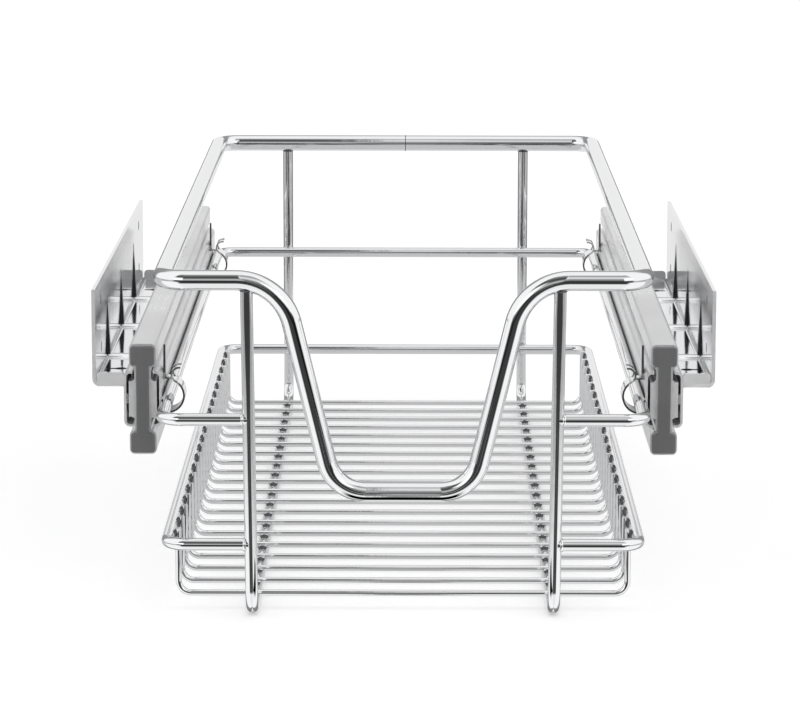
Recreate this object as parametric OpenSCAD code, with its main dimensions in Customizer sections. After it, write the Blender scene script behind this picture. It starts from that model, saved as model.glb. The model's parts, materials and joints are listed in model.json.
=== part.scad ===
// Pull-out wire basket for a 300 mm wide kitchen cabinet, on ball-bearing full-extension slides.
// The basket is welded from bent chrome-plated wire and hangs between two I-beam slides, which
// hang in turn from Z-shaped sheet brackets screwed to the cabinet's side walls.
// X runs across the cabinet, Y runs to the back and Z is up. The origin is under the middle of
// the closed unit, level with the underside of the basket's runners.

/* [Wire frames] */
// Outer width of the top frame
frame_w = 196; // [180:1:300]
// Outer depth of the top frame, from the handle to the rear bar
frame_d = 446; // [430:1:520]
// Overall height, from the runners' underside to the top of the handle wire
frame_h = 139; // [132:1:160]
// Diameter of the handle and top frame wire
handle_wire_d = 8; // [7:0.5:9]
// Diameter of the middle frame, rim and cradle wires
frame_wire_d = 5; // [4:0.5:6]
// Diameter of the basket's cross wires
cross_wire_d = 2.5; // [2:0.25:3]
// Centreline bend radius at the top frame's corners
top_corner_r = 10; // [8:1:14]
// Centreline bend radius at the corners of the middle frame and rim
frame_corner_r = 8; // [6:1:12]
// Height of the rim's centreline above the runners' underside
rim_z = 30; // [26:1:38]
// How far the middle frame, and so the slides, stand in from the top frame, on each side
middle_inset = 0.8; // [0:0.1:2]
// How far the rim stands in from the top frame, on each side
rim_inset = 2.5; // [1.5:0.5:6]
// Depth to which a weld sinks one wire into the next
weld_sink = 0.2; // [0.1:0.05:0.3]

/* [Handle] */
// Depth of the handle's dip below the top frame, centre to centre
handle_drop = 84; // [60:1:90]
// Width between the corners where the handle's legs leave the top frame
handle_top_w = 95; // [90:1:104]
// Width between the corners at the bottom of the dip
handle_bottom_w = 54; // [48:1:64]
// Centreline bend radius at the top of the handle's legs
handle_top_r = 22; // [16:1:24]
// Centreline bend radius at the bottom of the handle's legs
handle_bottom_r = 16; // [12:1:20]

/* [Basket] */
// Distance between the two cradle wires, centre to centre
cradle_w = 119; // [116:1:136]
// Centreline bend radius where a cradle wire turns under the basket
cradle_bend_r = 10; // [8:1:14]
// Distance from one cross wire to the next
cross_pitch = 20.8; // [16:0.2:24]
// Distance of the front cross wire behind the front uprights
front_wire_gap = 18; // [12:1:22]
// Least distance of the last cross wire in front of the rear uprights
rear_wire_gap = 20; // [14:1:26]
// Centreline bend radius at the foot of a cross wire's legs
leg_bend_r = 5; // [4:0.5:8]

/* [Slides] */
// Length of all three rails of a slide
slide_l = 400; // [390:1:420]
// Height of the slides' centreline above the runners' underside
slide_z = 80; // [74:1:82]
// Height of the middle rail
middle_h = 45; // [44:0.5:47]
// Width of the middle rail's heads
head_w = 10.8; // [10.2:0.2:11.4]
// Height of each head
head_h = 9.5; // [8:0.5:10]
// Outer radius of the heads' corners
head_corner_r = 2; // [1.4:0.2:2.4]
// Width of the middle rail's waist
waist_w = 6.7; // [6.3:0.1:6.7]
// Sheet thickness of the rails
rail_t = 1; // [0.8:0.1:1.2]
// Ball diameter
ball_d = 3.175; // [3:0.025:3.2]
// Running clearance between a ball and its raceways
ball_play = 0.0225; // [0.015:0.0025:0.04]
// Distance of the ball rows from the slide's mid-plane, to either side
ball_side = 5; // [5:0.05:5.2]
// Distance of the ball rows above and below the slide's centreline
ball_rise = 8.8; // [8.6:0.1:9.2]
// Angle to which a rail's lip wraps over the balls
lip_wrap = 115; // [105:1:118]
// How far the raceway hump reaches to either side of the ball rows
hump_lip = 0.6; // [0.5:0.05:0.7]
// How far the raceway hump stops short of the ball rows, up and down
hump_setback = 0.9; // [0.8:0.05:1]
// Height of the tab that stops a ball cage at full extension
stop_tab_h = 4; // [3:0.5:5]
// Thickness of that tab along the rail
stop_tab_t = 1; // [0.8:0.1:1.5]

/* [Cages] */
// Length of a ball cage
cage_l = 206; // [196:1:210]
// Sheet thickness of a ball cage
cage_t = 0.5; // [0.4:0.05:0.5]
// Balls in each row of a cage
cage_balls = 10; // [6:1:10]
// Distance from one ball to the next
ball_pitch = 20; // [16:0.5:20]
// Distance of the cages behind the slide's front end when the basket is closed
cage_start = 97; // [96:1:100]
// Clearance of a ball in its pocket
pocket_play = 0.04; // [0.03:0.01:0.06]
// Clearance between a cage and the middle rail's hump
cage_play = 0.15; // [0.1:0.05:0.2]
// Clearance between a cage's flanges and the middle rail's waist
flange_play = 0.25; // [0.15:0.05:0.3]

/* [Front caps] */
// Thickness of the cap's face in front of the rail
cap_face_t = 2; // [1.5:0.25:3]
// How far the cap's face stands in from the rail's outline
cap_inset = 0.8; // [0.3:0.1:0.8]
// Depth of the plug inside the rail
plug_l = 12; // [8:1:16]
// Clearance of the plug in the rail
plug_play = 0.1; // [0.05:0.05:0.2]

/* [Clips] */
// Width of a saddle clip along the rail
clip_w = 12; // [8:1:14]
// Sheet thickness of a saddle clip
clip_t = 0.8; // [0.6:0.1:1]
// Gap between the middle frame's wire and the clip's loop
clip_gap = 3.1; // [2.7:0.1:3.3]
// How far the loop's middle stands from the wire's middle, towards the rail
clip_bow = 0.8; // [0.5:0.1:1.2]
// Angle round the loop at which its two ears turn away from the rail
clip_ear_at = 60; // [54:1:66]
// Outer bend radius of the flared ears
clip_flare_r = 3.4; // [2.8:0.1:4]
// Width of the tongue between the ears
clip_tongue_w = 5; // [3:0.5:6]
// Height of the tongue above the raceway's middle
clip_tongue_h = 11.2; // [8:0.2:12]
// Distance of the front clip's middle behind the slide's front end
front_clip_at = 13; // [10:1:30]
// Distance of the rear clip's middle before the slide's rear end
rear_clip_at = 44; // [40:1:80]

/* [Brackets] */
// Length of a bracket along the cabinet wall
bracket_l = 268; // [260:1:290]
// Distance of a bracket's middle in front of the frames' middle
bracket_ahead = 16; // [10:1:22]
// Reach from the cabinet rail to the cabinet wall
bracket_reach = 15; // [14.5:0.1:17.5]
// Sheet thickness of a bracket
bracket_t = 1.5; // [1.2:0.1:1.6]
// Height of the wall flange above the web's underside
wall_flange_h = 40; // [39:1:46]
// Drop of the rail flange below the web's underside
rail_flange_h = 11; // [10:0.5:12]
// Outer radius of the bracket's folds
fold_r = 3; // [2.6:0.1:3.4]
// Height of the upturned lips at the web's ends
end_lip_h = 4.5; // [3:0.5:6]
// Gap between such a lip and the wall flange
end_lip_gap = 0.4; // [0.3:0.1:1]
// Distance between the pressed ribs
rib_pitch = 74; // [70:1:78]
// Height of a pressed rib on the wall flange
rib_h = 30; // [20:1:32]
// Outer radius of a pressed rib
rib_r = 3; // [2.6:0.1:3.2]

/* [Fastenings] */
// Diameter of the screw holes in the wall flange
screw_hole_d = 4.5; // [4:0.1:5]
// Distance between the screw holes along the wall
screw_span_y = 212; // [208:1:220]
// Distance between the screw holes up the wall
screw_span_z = 20; // [14:1:22]
// Diameter of the round end of a keyhole in the web
keyhole_d = 5; // [4.6:0.1:5.4]
// Distance of a keyhole from the bracket's end
keyhole_at = 32; // [26:1:36]
// Distance of a keyhole's round end from the cabinet rail
keyhole_in = 5.9; // [5.6:0.1:6.2]
// Length of a keyhole's slot from the middle of its round end
keyhole_slot_l = 5; // [4:0.5:5.5]
// Width of a keyhole's slot
keyhole_slot_w = 2.6; // [2.2:0.1:3]
// Shank diameter of the rivets between bracket and cabinet rail
rivet_d = 3.2; // [3:0.1:3.4]
// Clearance of a rivet in its hole
rivet_play = 0.05; // [0.03:0.01:0.08]
// Distance of the outer rivets from the bracket's middle
rivet_span = 104; // [96:1:112]
// Distance of the rivets below the web's underside
rivet_drop = 6; // [5.5:0.1:6.5]
// Diameter of a rivet's head
rivet_head_d = 6; // [5.5:0.1:6.4]
// Height of a rivet's head
rivet_head_h = 1.4; // [1:0.1:1.8]

/* [Hidden] */

$fn = 48;
LEFT = -1;
RIGHT = 1;
INWARD = -1;
OUTWARD = 1;
hair = 0.01;
bend_mark_w = 0.4;
bend_mark_rise = 0.02;
corner_lead = 4;
flare_turn = 160;
tongue_tip_w = 1.6;

// Heights and depths of the wire centrelines
top_z = frame_h - handle_wire_d / 2;
front_y = -frame_d / 2 + handle_wire_d / 2;
rear_y = frame_d / 2 - handle_wire_d / 2;
rear_bar_y = rear_y - frame_wire_d + weld_sink;
runner_z = frame_wire_d / 2;
cross_z = frame_wire_d + cross_wire_d / 2 - weld_sink;

// As many cross wires as the pitch gives between the front and rear uprights
cross_wires = 1 + floor((rear_y - front_y - front_wire_gap - rear_wire_gap) / cross_pitch);

// Half widths of the wire centrelines
top_x = (frame_w - handle_wire_d) / 2;
handle_end_x = top_x - top_corner_r - corner_lead;
middle_x = (frame_w - frame_wire_d) / 2 - middle_inset;
rim_x = (frame_w - frame_wire_d) / 2 - rim_inset;
cradle_x = cradle_w / 2;
leg_x = rim_x - frame_wire_d / 2 - cross_wire_d / 2 + weld_sink;

// The slides, seen from the front: distances from a slide's own mid-plane
race_r = ball_d / 2 + ball_play;
web_in = ball_side + race_r;
pack_half = web_in + rail_t;
rail_face_x = frame_w / 2 - middle_inset;
slide_x = rail_face_x + pack_half;
slide_front = frame_d / 2 - slide_l;
slide_rear = frame_d / 2;
head_inner = middle_h / 2 - head_h;
hump_half = ball_side + hump_lip;
hump_rise = ball_rise - hump_setback;
cage_in = hump_half + cage_play;
cage_flange_in = waist_w / 2 + flange_play;

// The clips' middles: the front one stays clear of the middle frame's corner bend
front_clip_y = max(slide_front + front_clip_at, front_y + frame_corner_r + clip_w);
rear_clip_y = slide_rear - rear_clip_at;
clip_loop_in = frame_wire_d / 2 + clip_gap + clip_bow;
clip_loop_out = clip_loop_in + clip_t;
clip_loop_u = frame_wire_d / 2 - clip_bow;
clip_foot_v = sqrt(pow(clip_loop_in, 2) - pow(clip_loop_u, 2));
clip_ear_w = (clip_w - clip_tongue_w) / 2;

// The brackets
bracket_x = slide_x + pack_half;
wall_x = bracket_x + bracket_reach;
bracket_y = -bracket_ahead;
web_z = slide_z;
rivet_z = web_z - rivet_drop;
screw_z = web_z + (fold_r + wall_flange_h) / 2;
keyhole_x = bracket_x + keyhole_in;
keyhole_slot_end = keyhole_x + keyhole_slot_l;
end_lip_w = bracket_reach - 2 * bracket_t - 2 * end_lip_gap;

chrome_colour = "gainsboro";
steel_colour = "silver";
plastic_colour = "dimgray";
ball_colour = "lightgray";

// ---------------------------------------------------------------- bent wire

function unit(v) = v / norm(v);
function turn(a, b, c) = acos(unit(b - a) * unit(c - b));
function setback(a, b, c, r) = r * tan(turn(a, b, c) / 2);
function bend_setback(points, i, radii) =
    i == 0 || i == len(points) - 1 ? 0
        : setback(points[i - 1], points[i], points[i + 1], radii[i - 1]);

// A straight length of round wire from a to b
module straight(a, b, d) {
    run = b - a;
    translate(a)
        rotate([0, acos(run.z / norm(run)), atan2(run.y, run.x)])
            cylinder(h = norm(run), d = d);
}

// The bend at b of a wire that comes from a and goes on to c
module elbow(a, b, c, r, d) {
    before = unit(b - a);
    axis = unit(cross(before, unit(c - b)));
    inward = cross(axis, before);
    centre = b - before * setback(a, b, c, r) + inward * r;
    multmatrix([
        [-inward.x, before.x, axis.x, centre.x],
        [-inward.y, before.y, axis.y, centre.y],
        [-inward.z, before.z, axis.z, centre.z],
        [0, 0, 0, 1]
    ])
        rotate_extrude(angle = turn(a, b, c))
            translate([r, 0])
                circle(d = d);
}

// A wire through a list of points, with a true arc of its own radius at each inner point
module bent_wire(points, radii, d) {
    for (i = [0 : len(points) - 2]) {
        run = unit(points[i + 1] - points[i]);
        straight(
            points[i] + run * bend_setback(points, i, radii),
            points[i + 1] - run * bend_setback(points, i + 1, radii),
            d
        );
    }
    for (i = [1 : len(points) - 2])
        elbow(points[i - 1], points[i], points[i + 1], radii[i - 1], d);
}

// The faint ring that the bending roller leaves at both ends of each bend
module bend_marks(points, radii, d) {
    for (i = [1 : len(points) - 2], toward = [-1, 1]) {
        run = unit(points[i + toward] - points[i]);
        end = points[i] + run * bend_setback(points, i, radii);
        straight(end - run * bend_mark_w / 2, end + run * bend_mark_w / 2, d + 2 * bend_mark_rise);
    }
}

// Half of the handle, from the bottom of the dip to the straight wire beside the corner
module half_handle(d) {
    dip_z = top_z - handle_drop;
    points = [
        [0, front_y, dip_z], [handle_bottom_w / 2, front_y, dip_z],
        [handle_top_w / 2, front_y, top_z], [handle_end_x, front_y, top_z]
    ];
    radii = [handle_bottom_r, handle_top_r];
    bent_wire(points, radii, d);
    bend_marks(points, radii, d);
}

// The closed top loop, which dips at the front into the handle
module top_loop(d) {
    points = [
        [handle_end_x, front_y, top_z], [top_x, front_y, top_z], [top_x, rear_y, top_z],
        [-top_x, rear_y, top_z], [-top_x, front_y, top_z], [-handle_end_x, front_y, top_z]
    ];
    bent_wire(points, [for (corner = [1 : 4]) top_corner_r], d);
    half_handle(d);
    mirror([1, 0, 0])
        half_handle(d);
}

// An open loop: in front its ends turn in to the uprights and stop at their sides
module open_loop(half_w, z) {
    points = [
        [-cradle_x, front_y, z], [-half_w, front_y, z], [-half_w, rear_bar_y, z],
        [half_w, rear_bar_y, z], [half_w, front_y, z], [cradle_x, front_y, z]
    ];
    difference() {
        bent_wire(points, [for (corner = [1 : 4]) frame_corner_r], frame_wire_d);
        for (side = [LEFT, RIGHT])
            translate([side * cradle_x, front_y, z - frame_wire_d])
                cylinder(h = 2 * frame_wire_d, d = frame_wire_d - 2 * weld_sink);
    }
}

module top_frame() {
    butt_weld_d = handle_wire_d + 0.4;
    butt_weld_w = 1.6;
    color(chrome_colour)
        union() {
            top_loop(handle_wire_d);
            translate([-butt_weld_w / 2, rear_y, top_z])
                rotate([0, 90, 0])
                    cylinder(h = butt_weld_w, d = butt_weld_d);
        }
}

module middle_frame() {
    color(chrome_colour)
        open_loop(middle_x, slide_z);
}

module basket_rim() {
    color(chrome_colour)
        open_loop(rim_x, rim_z);
}

// One U-shaped wire: front upright, runner and rear upright, coped to the top frame
module cradle_wire(side) {
    x = side * cradle_x;
    points = [[x, front_y, top_z], [x, front_y, runner_z], [x, rear_y, runner_z], [x, rear_y, top_z]];
    color(chrome_colour)
        difference() {
            bent_wire(points, [cradle_bend_r, cradle_bend_r], frame_wire_d);
            top_loop(handle_wire_d - 2 * weld_sink);
        }
}

// The cross wires lie on the runners and turn up inside the rim
module basket_wires() {
    leg_top = rim_z + frame_wire_d / 2;
    color(chrome_colour)
        for (i = [0 : cross_wires - 1]) {
            y = front_y + front_wire_gap + i * cross_pitch;
            points = [[-leg_x, y, leg_top], [-leg_x, y, cross_z], [leg_x, y, cross_z], [leg_x, y, leg_top]];
            bent_wire(points, [leg_bend_r, leg_bend_r], cross_wire_d);
        }
}

// ---------------------------------------------------------------- slide sections

// Part of a ring about the origin, from one angle to another
module ring_sector(r_in, r_out, from, to) {
    reach = 2 * r_out;
    fan = [for (k = [0 : 4]) reach * [cos(from + (to - from) * k / 4), sin(from + (to - from) * k / 4)]];
    intersection() {
        difference() {
            circle(r_out);
            circle(r_in);
        }
        polygon(concat([[0, 0]], fan));
    }
}

// A rectangle about the origin with rounded corners
module rounded_rect(w, h, r) {
    square([w - 2 * r, h], center = true);
    square([w, h - 2 * r], center = true);
    for (x = [-1, 1], y = [-1, 1])
        translate([x * (w / 2 - r), y * (h / 2 - r)])
            circle(r);
}

// Both heads and the waist of the middle rail, grown inward by a margin
module beam_section(margin) {
    r = max(head_corner_r - margin, 0.4);
    for (v = [-1, 1])
        translate([0, v * (head_inner + head_h / 2)])
            rounded_rect(head_w - 2 * margin, head_h - 2 * margin, r);
    square([waist_w - 2 * margin, 2 * head_inner + head_h], center = true);
}

// The middle rail: a hollow I-beam with a raceway hump on either side of its waist
module middle_section() {
    difference() {
        union() {
            beam_section(0);
            square([2 * hump_half, 2 * hump_rise], center = true);
        }
        beam_section(rail_t);
        for (u = [-1, 1], v = [-1, 1])
            translate([u * ball_side, v * ball_rise])
                circle(race_r);
    }
}

// A C rail: a flat web with a raceway curled over each row of balls. It opens towards -u.
module c_section() {
    translate([web_in, -ball_rise])
        square([rail_t, 2 * ball_rise]);
    for (v = [-1, 1])
        scale([1, v])
            translate([ball_side, ball_rise])
                ring_sector(race_r, race_r + rail_t, 0, lip_wrap);
}

// A ball cage: a strip between the hump and the web, with a flange through each row of balls
module cage_section() {
    translate([cage_in, -ball_rise])
        square([cage_t, 2 * ball_rise]);
    for (v = [-1, 1])
        translate([cage_flange_in, v * ball_rise - cage_t / 2])
            square([cage_in + cage_t - cage_flange_in, cage_t]);
}

// Stands a section, drawn with u to the cabinet wall and v up, at one of the slides
module along_slide(side, from, length) {
    mirror([side == LEFT ? 1 : 0, 0, 0])
        translate([slide_x, from, slide_z])
            rotate([90, 0, 0])
                translate([0, 0, -length])
                    linear_extrude(length)
                        children();
}

// A C rail at one slide: the drawer rail faces outward and the cabinet rail inward.
// A tab at one end stops the ball cage at full extension.
module c_rail(side, facing, tab_from) {
    along_slide(side, slide_front, slide_l)
        scale([facing, 1])
            c_section();
    along_slide(side, tab_from, stop_tab_t)
        scale([facing, 1])
            translate([cage_in, -stop_tab_h / 2])
                square([web_in + hair - cage_in, stop_tab_h]);
}

// Centres of a cage's balls, from the slide's front end
function ball_y(i) = slide_front + cage_start + cage_l / 2 + (i - (cage_balls - 1) / 2) * ball_pitch;

module at_balls(side, facing) {
    for (i = [0 : cage_balls - 1], v = [-1, 1])
        translate([side * (slide_x + facing * ball_side), ball_y(i), slide_z + v * ball_rise])
            children();
}

// ---------------------------------------------------------------- slides

module drawer_rail(side) {
    color(steel_colour)
        c_rail(side, INWARD, slide_rear - 2 * stop_tab_t);
}

module cabinet_rail(side) {
    color(steel_colour)
        difference() {
            c_rail(side, OUTWARD, slide_front + stop_tab_t);
            rivet_bores(side);
        }
}

module middle_rail(side) {
    color(steel_colour)
        along_slide(side, slide_front, slide_l)
            middle_section();
}

module ball_cage(side, facing) {
    color(steel_colour)
        difference() {
            along_slide(side, slide_front + cage_start, cage_l)
                scale([facing, 1])
                    cage_section();
            at_balls(side, facing)
                sphere(d = ball_d + 2 * pocket_play);
        }
}

module cage_ball_set(side, facing) {
    color(ball_colour)
        at_balls(side, facing)
            sphere(d = ball_d);
}

// An I-shaped face in front of the middle rail, with a plug inside it
module front_cap(side) {
    color(plastic_colour)
        union() {
            along_slide(side, slide_front - cap_face_t, cap_face_t)
                beam_section(cap_inset);
            along_slide(side, slide_front - hair, plug_l + hair)
                beam_section(rail_t + plug_play);
        }
}

// A clip's loop round the wire, with u from the rail's face towards the basket and v up. It
// starts at the rail below the wire and ends at an angle above it.
module clip_loop(to) {
    intersection() {
        translate([clip_loop_u, 0])
            ring_sector(clip_loop_in, clip_loop_out, -130, to);
        translate([0, -2 * clip_loop_out])
            square(4 * clip_loop_out);
    }
}

// An ear: the loop turned away from the rail into a flared edge that leads the wire in
module clip_ear() {
    reach = clip_loop_in + clip_flare_r;
    clip_loop(clip_ear_at);
    translate([clip_loop_u + reach * cos(clip_ear_at), reach * sin(clip_ear_at)])
        ring_sector(clip_flare_r - clip_t, clip_flare_r, 180 + clip_ear_at - flare_turn, 180 + clip_ear_at);
}

// A saddle clip: a strip slit in three above the wire, where the middle part turns to the rail
// as a foot with a pointed tongue, between two flared ears
module clip_shape() {
    tongue_from = clip_ear_w;
    tongue_to = clip_w - clip_ear_w;
    tip_at = (clip_w - tongue_tip_w) / 2;
    for (w = [0, tongue_to])
        translate([0, 0, w])
            linear_extrude(clip_ear_w)
                clip_ear();
    translate([0, 0, tongue_from])
        linear_extrude(clip_tongue_w)
            clip_loop(130);
    translate([0, -ball_rise, 0])
        cube([clip_t, ball_rise - clip_foot_v, clip_w]);
    translate([clip_t, 0, 0])
        rotate([0, -90, 0])
            linear_extrude(clip_t)
                polygon([
                    [tongue_from, clip_foot_v], [tongue_to, clip_foot_v], [tongue_to, ball_rise],
                    [tip_at + tongue_tip_w, ball_rise + clip_tongue_h],
                    [tip_at, ball_rise + clip_tongue_h], [tongue_from, ball_rise]
                ]);
}

module frame_clip(side, y) {
    color(chrome_colour)
        mirror([side == LEFT ? 1 : 0, 0, 0])
            translate([rail_face_x, y + clip_w / 2, slide_z])
                rotate([90, 0, 0])
                    mirror([1, 0, 0])
                        clip_shape();
}

// ---------------------------------------------------------------- brackets

// The Z section: rail flange down, web across, wall flange up, with round folds
module bracket_section() {
    inner_r = fold_r - bracket_t;
    translate([bracket_x, web_z - rail_flange_h])
        square([bracket_t, rail_flange_h + bracket_t - fold_r]);
    translate([bracket_x + fold_r, web_z + bracket_t - fold_r])
        ring_sector(inner_r, fold_r, 90, 180);
    translate([bracket_x + fold_r, web_z])
        square([bracket_reach - 2 * fold_r, bracket_t]);
    translate([wall_x - fold_r, web_z + fold_r])
        ring_sector(inner_r, fold_r, 270, 360);
    translate([wall_x - bracket_t, web_z + fold_r])
        square([bracket_t, wall_flange_h - fold_r]);
}

// A pressed rib across the fold: a round bead on the web and a tapering one up the flange
module rib(r, tip_r) {
    translate([bracket_x + fold_r, 0, web_z])
        sphere(r);
    translate([bracket_x + fold_r, 0, web_z])
        rotate([0, 90, 0])
            cylinder(h = bracket_reach - fold_r, r = r);
    translate([wall_x, 0, web_z])
        cylinder(h = rib_h, r1 = r, r2 = tip_r);
}

// A round hole through the web with a narrow slot towards the wall
module keyhole() {
    translate([keyhole_x, 0, web_z - bracket_t])
        cylinder(h = 4 * bracket_t, d = keyhole_d);
    translate([keyhole_x, -keyhole_slot_w / 2, web_z - bracket_t])
        cube([keyhole_slot_end - keyhole_slot_w / 2 - keyhole_x, keyhole_slot_w, 4 * bracket_t]);
    translate([keyhole_slot_end - keyhole_slot_w / 2, 0, web_z - bracket_t])
        cylinder(h = 4 * bracket_t, d = keyhole_slot_w);
}

// An upturned lip at one end of the web, with rounded upper corners
module end_lip(y) {
    lip_h = end_lip_h + bracket_t;
    lip_r = 1.5;
    x = bracket_x + bracket_reach / 2;
    translate([x, y + bracket_t, web_z])
        rotate([90, 0, 0])
            linear_extrude(bracket_t)
                union() {
                    translate([-end_lip_w / 2, 0])
                        square([end_lip_w, lip_h - lip_r]);
                    translate([-end_lip_w / 2 + lip_r, 0])
                        square([end_lip_w - 2 * lip_r, lip_h]);
                    for (u = [-1, 1])
                        translate([u * (end_lip_w / 2 - lip_r), lip_h - lip_r])
                            circle(lip_r);
                }
}

module screw_holes() {
    for (j = [-1, 1], k = [-1, 1])
        translate([wall_x - 2 * bracket_t, bracket_y + j * screw_span_y / 2, screw_z + k * screw_span_z / 2])
            rotate([0, 90, 0])
                cylinder(h = 3 * bracket_t, d = screw_hole_d);
}

// Where the rivets pass: x is the inner face of the cabinet rail's web
module at_rivets(side) {
    mirror([side == LEFT ? 1 : 0, 0, 0])
        for (k = [-1, 0, 1])
            translate([slide_x + web_in, bracket_y + k * rivet_span, rivet_z])
                rotate([0, 90, 0])
                    children();
}

module rivet_bores(side) {
    at_rivets(side)
        translate([0, 0, -rail_t])
            cylinder(h = 2 * rail_t + 2 * bracket_t, d = rivet_d + 2 * rivet_play);
}

module bracket(side) {
    front = bracket_y - bracket_l / 2;
    color(chrome_colour)
        difference() {
            mirror([side == LEFT ? 1 : 0, 0, 0])
                difference() {
                    union() {
                        translate([0, front + bracket_l, 0])
                            rotate([90, 0, 0])
                                linear_extrude(bracket_l)
                                    bracket_section();
                        intersection() {
                            for (k = [-1, 0, 1])
                                translate([0, bracket_y + k * rib_pitch, 0])
                                    rib(rib_r, bracket_t);
                            translate([bracket_x, front, web_z])
                                cube([bracket_reach, bracket_l, wall_flange_h]);
                        }
                        end_lip(front);
                        end_lip(front + bracket_l - bracket_t);
                    }
                    for (k = [-1, 0, 1])
                        translate([0, bracket_y + k * rib_pitch, 0])
                            rib(rib_r - bracket_t, 0);
                    for (k = [-1, 1])
                        translate([0, bracket_y + k * (bracket_l / 2 - keyhole_at), 0])
                            keyhole();
                    screw_holes();
                }
            rivet_bores(side);
        }
}

// Rivets set flush inside the rail, with a domed head on the bracket's flange
module bracket_rivets(side) {
    dome_r = (pow(rivet_head_d / 2, 2) + pow(rivet_head_h, 2)) / (2 * rivet_head_h);
    head_at = rail_t + bracket_t;
    color(steel_colour)
        at_rivets(side)
            union() {
                cylinder(h = head_at + hair, d = rivet_d);
                intersection() {
                    translate([0, 0, head_at])
                        cylinder(h = rivet_head_h, d = rivet_head_d);
                    translate([0, 0, head_at + rivet_head_h - dome_r])
                        sphere(dome_r);
                }
            }
}

top_frame();
middle_frame();
basket_rim();
cradle_wire(LEFT);  // cradle_wire_left
cradle_wire(RIGHT);  // cradle_wire_right
basket_wires();
frame_clip(LEFT, front_clip_y);  // frame_clip_front_left
frame_clip(RIGHT, front_clip_y);  // frame_clip_front_right
frame_clip(LEFT, rear_clip_y);  // frame_clip_rear_left
frame_clip(RIGHT, rear_clip_y);  // frame_clip_rear_right
drawer_rail(LEFT);  // drawer_rail_left
drawer_rail(RIGHT);  // drawer_rail_right
ball_cage(LEFT, INWARD);  // inner_cage_left
ball_cage(RIGHT, INWARD);  // inner_cage_right
cage_ball_set(LEFT, INWARD);  // inner_balls_left
cage_ball_set(RIGHT, INWARD);  // inner_balls_right
middle_rail(LEFT);  // middle_rail_left
middle_rail(RIGHT);  // middle_rail_right
front_cap(LEFT);  // front_cap_left
front_cap(RIGHT);  // front_cap_right
ball_cage(LEFT, OUTWARD);  // outer_cage_left
ball_cage(RIGHT, OUTWARD);  // outer_cage_right
cage_ball_set(LEFT, OUTWARD);  // outer_balls_left
cage_ball_set(RIGHT, OUTWARD);  // outer_balls_right
cabinet_rail(LEFT);  // cabinet_rail_left
cabinet_rail(RIGHT);  // cabinet_rail_right
bracket(LEFT);  // bracket_left
bracket(RIGHT);  // bracket_right
bracket_rivets(LEFT);  // bracket_rivets_left
bracket_rivets(RIGHT);  // bracket_rivets_right
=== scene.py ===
"""Dresses the pull-out cabinet basket: bent chrome wire, zinc-plated slides, pressed chrome
brackets, moulded end caps and a plain white studio stage. Every length is in metres."""

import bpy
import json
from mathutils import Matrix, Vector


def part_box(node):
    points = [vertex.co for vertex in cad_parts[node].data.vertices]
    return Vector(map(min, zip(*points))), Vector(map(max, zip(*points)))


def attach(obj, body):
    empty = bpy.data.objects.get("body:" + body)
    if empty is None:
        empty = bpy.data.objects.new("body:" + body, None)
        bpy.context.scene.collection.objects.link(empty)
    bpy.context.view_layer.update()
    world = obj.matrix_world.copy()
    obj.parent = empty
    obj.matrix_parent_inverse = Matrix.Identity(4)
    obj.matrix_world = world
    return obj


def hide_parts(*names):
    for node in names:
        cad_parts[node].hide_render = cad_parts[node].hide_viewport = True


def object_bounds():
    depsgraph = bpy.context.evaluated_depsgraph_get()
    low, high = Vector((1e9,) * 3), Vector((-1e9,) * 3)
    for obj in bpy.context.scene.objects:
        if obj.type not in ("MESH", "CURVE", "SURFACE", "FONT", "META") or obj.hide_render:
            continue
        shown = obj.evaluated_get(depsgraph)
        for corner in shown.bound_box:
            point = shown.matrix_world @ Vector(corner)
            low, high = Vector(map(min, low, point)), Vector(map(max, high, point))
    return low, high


bl_info = {
    "name": "Pull-out cabinet basket",
    "version": (1, 0, 0),
    "blender": (4, 5, 0),
    "location": "3D View > Sidebar > Basket",
    "description": "Builds and finishes a pull-out wire basket on ball-bearing slides",
    "category": "Object",
}

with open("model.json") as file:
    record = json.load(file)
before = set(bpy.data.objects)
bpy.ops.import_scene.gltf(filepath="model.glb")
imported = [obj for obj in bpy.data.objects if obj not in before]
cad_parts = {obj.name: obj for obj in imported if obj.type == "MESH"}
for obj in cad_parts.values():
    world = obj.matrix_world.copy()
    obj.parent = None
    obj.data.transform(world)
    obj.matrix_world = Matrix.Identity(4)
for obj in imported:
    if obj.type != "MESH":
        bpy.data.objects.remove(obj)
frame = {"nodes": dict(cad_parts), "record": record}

import json
import math

import bmesh
import bpy
from mathutils import Matrix, Vector

CAD_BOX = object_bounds()
SIDES = {"left": -1, "right": 1}

TOP_LOW, TOP_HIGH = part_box("top_frame")
MIDDLE_LOW, MIDDLE_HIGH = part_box("middle_frame")
RIM_LOW, RIM_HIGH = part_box("basket_rim")
RUNNER_LOW, RUNNER_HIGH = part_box("cradle_wire_right")
CROSS_LOW, CROSS_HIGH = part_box("basket_wires")
RAIL_LOW, RAIL_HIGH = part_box("middle_rail_right")
CAP_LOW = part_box("front_cap_right")[0]
MM = 0.001


# ---------------------------------------------------------------- sizes and colours


def length(label, text, millimetres):
    """A size that shows in the scene's own length unit."""
    return bpy.props.FloatProperty(
        name=label, description=text, default=millimetres * MM, min=0.0, unit="LENGTH", precision=5
    )


def angle(label, text, degrees, **limits):
    return bpy.props.FloatProperty(
        name=label, description=text, default=math.radians(degrees), subtype="ANGLE", **limits
    )


def count(label, text, value, **limits):
    return bpy.props.IntProperty(name=label, description=text, default=value, **limits)


def share(label, text, value, high=1.0):
    return bpy.props.FloatProperty(name=label, description=text, default=value, min=0.0, max=high)


def tint(label, text, *colour):
    return bpy.props.FloatVectorProperty(
        name=label, description=text, default=colour, min=0.0, max=1.0, size=3, subtype="COLOR"
    )


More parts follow.
